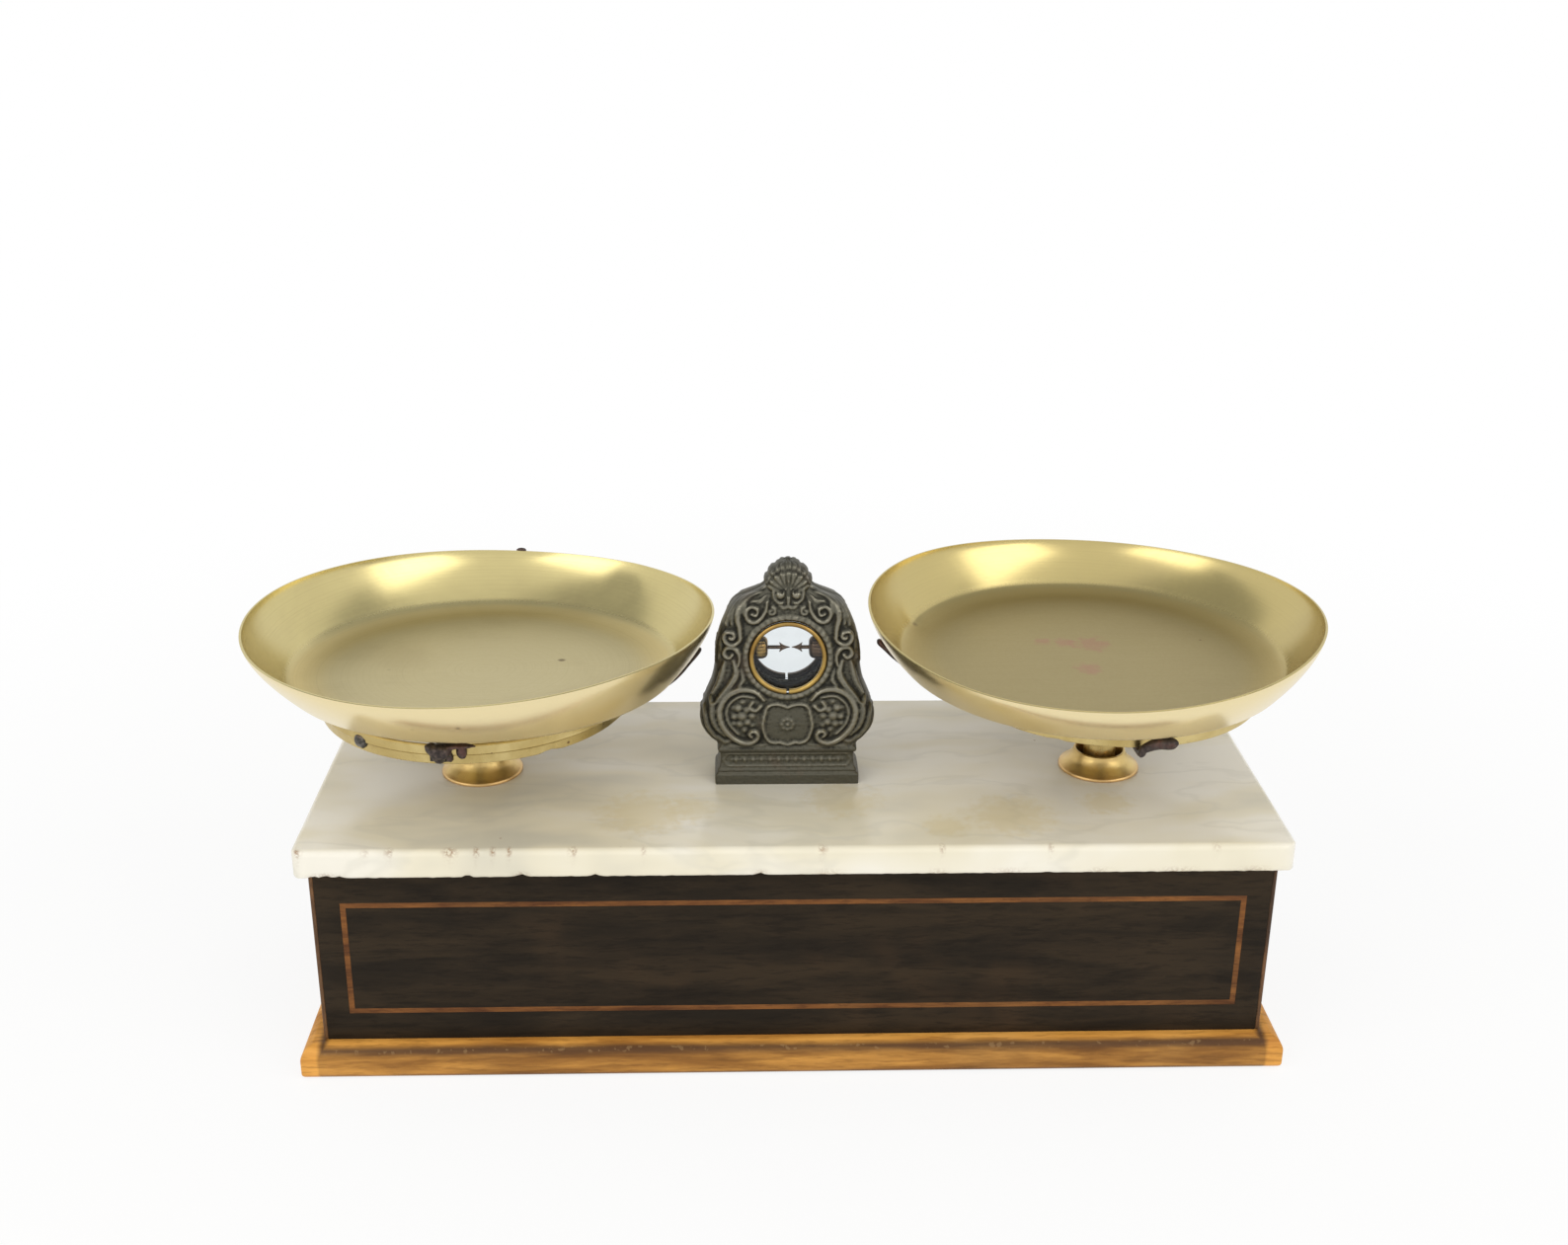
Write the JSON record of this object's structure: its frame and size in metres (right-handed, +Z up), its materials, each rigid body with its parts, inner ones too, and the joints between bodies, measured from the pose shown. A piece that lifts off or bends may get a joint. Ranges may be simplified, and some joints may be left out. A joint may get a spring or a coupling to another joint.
{
  "type": "balance scale",
  "caption": "Counter balance scale: pans on stems over a marble-topped wooden case, with arrows that meet in a cast housing's window, and a beam and stay inside.",
  "frame": {"origin": "centre of the base board's underside, below the beam's middle", "axes": "+X along the case from the left pan to the right pan, +Y from the front to the back, +Z up"},
  "size_m": [0.4495, 0.1973, 0.2046],
  "materials": {
    "dark_wood": "satin, ebonised",
    "golden_wood": "satin",
    "light_wood": "satin",
    "plain_wood": "bare",
    "marble": "honed, veined",
    "pewter": "dark cast alloy",
    "brass": "satin",
    "dark_brass": "tarnished",
    "iron": "dark",
    "steel": "satin",
    "glass": "clear",
    "leather": "matt"
  },
  "bodies": {
    "case": {"base_board": "golden_wood", "front_panel": "dark_wood", "back_panel": "dark_wood", "left_panel": "dark_wood", "right_panel": "dark_wood", "front_stringing": "light_wood", "corner_strips": "light_wood", "corner_blocks": "plain_wood", "case_screws": "steel", "marble_slab": "marble", "left_collar": "brass", "right_collar": "brass", "housing_front": "pewter", "housing_back": "pewter", "front_bezel": "brass", "back_bezel": "brass", "front_glass": "glass", "back_glass": "glass", "housing_screws": "steel", "centre_stand": "iron", "stand_screws": "steel", "centre_bearings": "steel", "stop_pads": "leather", "stay_centre_pin": "steel"},
    "beam": {"main_beam": "steel", "centre_knife": "steel", "left_knife": "steel", "right_knife": "steel", "trim_screws": "steel", "trim_nuts": "brass"},
    "stay": {"stay_bar": "steel"},
    "left_carrier": {"left_yoke": "iron", "left_yoke_bearings": "steel", "left_stay_pin": "steel", "left_stem": "brass", "left_cross": "iron", "left_hub_nut": "brass", "left_ring": "brass", "left_pointer_arm": "steel", "left_pointer_post": "steel", "left_knob": "brass", "left_arrow": "brass"},
    "right_carrier": {"right_yoke": "iron", "right_yoke_bearings": "steel", "right_stay_pin": "steel", "right_stem": "brass", "right_cross": "iron", "right_hub_nut": "brass", "right_ring": "brass", "right_pointer_arm": "steel", "right_pointer_post": "steel", "right_knob": "dark_brass", "right_arrow": "dark_brass"},
    "left_dish": {"left_pan": "brass"},
    "right_dish": {"right_pan": "brass"}
  },
  "joints": [
    {"name": "beam_tilt", "type": "hinge", "parent": "case", "child": "beam", "pos_m": [0, 0, 0.0628], "axis": [0, 1, 0], "range_deg": [-3.5, 3.5]},
    {"name": "stay_tilt", "type": "hinge", "parent": "case", "child": "stay", "pos_m": [0, 0, 0.0348], "axis": [0, 1, 0], "range_deg": [-3.5, 3.5]},
    {"name": "left_upright", "type": "hinge", "parent": "beam", "child": "left_carrier", "pos_m": [-0.133, 0, 0.0628], "axis": [0, 1, 0], "range_deg": [-3.5, 3.5]},
    {"name": "right_upright", "type": "hinge", "parent": "beam", "child": "right_carrier", "pos_m": [0.133, 0, 0.0628], "axis": [0, 1, 0], "range_deg": [-3.5, 3.5]},
    {"name": "left_pan_lift", "type": "slide", "parent": "left_carrier", "child": "left_dish", "axis": [0, 0, 1], "range_m": [0, 0.06]},
    {"name": "right_pan_lift", "type": "slide", "parent": "right_carrier", "child": "right_dish", "axis": [0, 0, 1], "range_m": [0, 0.06]}
  ],
  "couplings": [
    {"joint": "stay_tilt", "follows": "beam_tilt", "ratio": 1},
    {"joint": "left_upright", "follows": "beam_tilt", "ratio": -1},
    {"joint": "right_upright", "follows": "beam_tilt", "ratio": -1}
  ]
}
